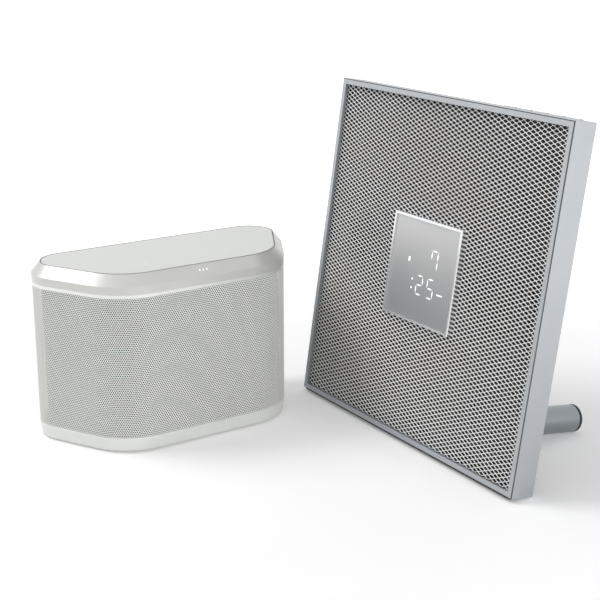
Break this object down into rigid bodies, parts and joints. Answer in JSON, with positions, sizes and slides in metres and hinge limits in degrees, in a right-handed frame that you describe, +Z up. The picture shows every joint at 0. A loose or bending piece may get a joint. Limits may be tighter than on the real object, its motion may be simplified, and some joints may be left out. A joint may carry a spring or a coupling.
{
  "type": "mini hi-fi system",
  "caption": "Wireless hi-fi pair: a rounded trapezoid table speaker with touch top and wrapped grille, and a flat square panel player with mesh front, square display and rear legs.",
  "frame": {"origin": "middle of the pair's box, on the surface that both units stand on", "axes": "+X to the right along the speaker's width, +Y from the speaker's front to its back, +Z up; the panel player stands to the right and in front, facing -X"},
  "size_m": [0.401, 0.3576, 0.2963],
  "materials": {
    "rubber_black": "matt moulded rubber",
    "base_metal": "brushed satin metal",
    "trim_bright": "bright satin paint",
    "grille_white": "white powder coat on finely perforated steel",
    "plastic_black": "black moulded",
    "pressed_steel": "black painted pressed steel",
    "cone_paper": "coated paper cone",
    "magnet_iron": "plated ferrite and iron",
    "radiator_rubber": "rubber surround with weighted plate",
    "pearl_plastic": "pearl white satin paint",
    "light_lens": "clear white light guide",
    "touch_panel": "smooth satin white touch surface",
    "circuit_board": "green solder mask",
    "socket_steel": "tinned shield",
    "socket_black": "black moulded socket",
    "plastic_white": "fine spark texture",
    "insert_brass": "turned brass",
    "screw_steel": "zinc plated",
    "frame_aluminium": "satin anodised with polished edges",
    "mesh_white": "white powder coat on expanded metal",
    "display_chrome": "bright polished",
    "display_window": "half-mirrored grey",
    "cover_grey": "fine texture light grey",
    "plate_steel": "zinc plated sheet",
    "button_aluminium": "satin anodised",
    "leg_metal": "satin turned"
  },
  "bodies": {
    "speaker": {"speaker_foot_pads": "rubber_black", "speaker_base": "base_metal", "speaker_lower_trim": "trim_bright", "speaker_grille": "grille_white", "speaker_upper_trim": "trim_bright", "speaker_cabinet": "plastic_black", "speaker_woofer_frame": "pressed_steel", "speaker_woofer_magnet": "magnet_iron", "speaker_tweeter": "plastic_black", "speaker_radiator_frames": "plastic_black", "speaker_top_ring": "pearl_plastic", "speaker_status_lights": "light_lens", "speaker_top_panel": "touch_panel", "speaker_touch_board": "circuit_board", "speaker_main_board": "circuit_board", "speaker_power_board": "circuit_board", "speaker_network_jack": "socket_steel", "speaker_mains_inlet": "socket_black", "speaker_rear_cover": "plastic_white", "speaker_wall_insert": "insert_brass", "speaker_screws": "screw_steel"},
    "panel": {"panel_frame": "frame_aluminium", "panel_mesh": "mesh_white", "panel_baffle": "plastic_black", "panel_woofer_frames": "pressed_steel", "panel_woofer_magnets": "magnet_iron", "panel_tweeters": "plastic_black", "panel_display_bezel": "display_chrome", "panel_display_window": "display_window", "panel_display_board": "circuit_board", "panel_display_lights": "light_lens", "panel_rear_cover": "cover_grey", "panel_socket_plate": "cover_grey", "panel_wall_plate": "plate_steel", "panel_screws": "screw_steel", "panel_main_board": "circuit_board", "panel_amplifier_board": "circuit_board", "panel_network_jack": "socket_steel", "panel_usb_jack": "socket_steel", "panel_aux_jack": "socket_black", "panel_optical_jack": "socket_black", "panel_power_inlet": "socket_black", "panel_button_board": "circuit_board", "panel_leg_left": "leg_metal", "panel_leg_right": "leg_metal", "panel_leg_caps": "rubber_black", "panel_foot_strip": "rubber_black"},
    "speaker_woofer": {"speaker_woofer_cone": "cone_paper"},
    "left_radiator": {"speaker_radiator_left": "radiator_rubber"},
    "right_radiator": {"speaker_radiator_right": "radiator_rubber"},
    "speaker_connect": {"speaker_connect_button": "plastic_white"},
    "panel_left_woofer": {"panel_woofer_cone_left": "cone_paper"},
    "panel_right_woofer": {"panel_woofer_cone_right": "cone_paper"},
    "power_button": {"panel_power_button": "button_aluminium"},
    "source_button": {"panel_source_button": "button_aluminium"},
    "volume_down_button": {"panel_volume_down_button": "button_aluminium"},
    "volume_up_button": {"panel_volume_up_button": "button_aluminium"},
    "play_button": {"panel_play_button": "button_aluminium"},
    "panel_connect": {"panel_connect_button": "cover_grey"}
  },
  "joints": [
    {"name": "unit_spacing", "type": "slide", "parent": "speaker", "child": "panel", "axis": [1, 0, 0], "range_m": [0, 0.15]},
    {"name": "speaker_cone_travel", "type": "slide", "parent": "speaker", "child": "speaker_woofer", "axis": [0, -1, 0], "range_m": [-0.002, 0.002], "stiffness_N_per_m": 1500},
    {"name": "left_radiator_travel", "type": "slide", "parent": "speaker", "child": "left_radiator", "axis": [-0.871, -0.4914, 0], "range_m": [-0.00175, 0.00175]},
    {"name": "right_radiator_travel", "type": "slide", "parent": "speaker", "child": "right_radiator", "axis": [0.871, -0.4914, 0], "range_m": [-0.00175, 0.00175]},
    {"name": "panel_left_cone_travel", "type": "slide", "parent": "panel", "child": "panel_left_woofer", "axis": [-0.989, 0, 0.1478], "range_m": [-0.002, 0.002], "stiffness_N_per_m": 1500},
    {"name": "panel_right_cone_travel", "type": "slide", "parent": "panel", "child": "panel_right_woofer", "axis": [-0.989, 0, 0.1478], "range_m": [-0.002, 0.002], "stiffness_N_per_m": 1500},
    {"name": "speaker_connect_press", "type": "slide", "parent": "speaker", "child": "speaker_connect", "axis": [0, -1, 0], "range_m": [0, 0.0006], "stiffness_N_per_m": 800},
    {"name": "panel_connect_press", "type": "slide", "parent": "panel", "child": "panel_connect", "axis": [-0.989, 0, 0.1478], "range_m": [0, 0.0006], "stiffness_N_per_m": 800},
    {"name": "power_press", "type": "slide", "parent": "panel", "child": "power_button", "axis": [-0.1478, 0, -0.989], "range_m": [0, 0.0006], "stiffness_N_per_m": 800},
    {"name": "source_press", "type": "slide", "parent": "panel", "child": "source_button", "axis": [-0.1478, 0, -0.989], "range_m": [0, 0.0006], "stiffness_N_per_m": 800},
    {"name": "volume_down_press", "type": "slide", "parent": "panel", "child": "volume_down_button", "axis": [-0.1478, 0, -0.989], "range_m": [0, 0.0006], "stiffness_N_per_m": 800},
    {"name": "volume_up_press", "type": "slide", "parent": "panel", "child": "volume_up_button", "axis": [-0.1478, 0, -0.989], "range_m": [0, 0.0006], "stiffness_N_per_m": 800},
    {"name": "play_press", "type": "slide", "parent": "panel", "child": "play_button", "axis": [-0.1478, 0, -0.989], "range_m": [0, 0.0006], "stiffness_N_per_m": 800}
  ],
  "couplings": [
    {"joint": "left_radiator_travel", "follows": "speaker_cone_travel", "ratio": -0.827},
    {"joint": "right_radiator_travel", "follows": "speaker_cone_travel", "ratio": -0.827}
  ]
}
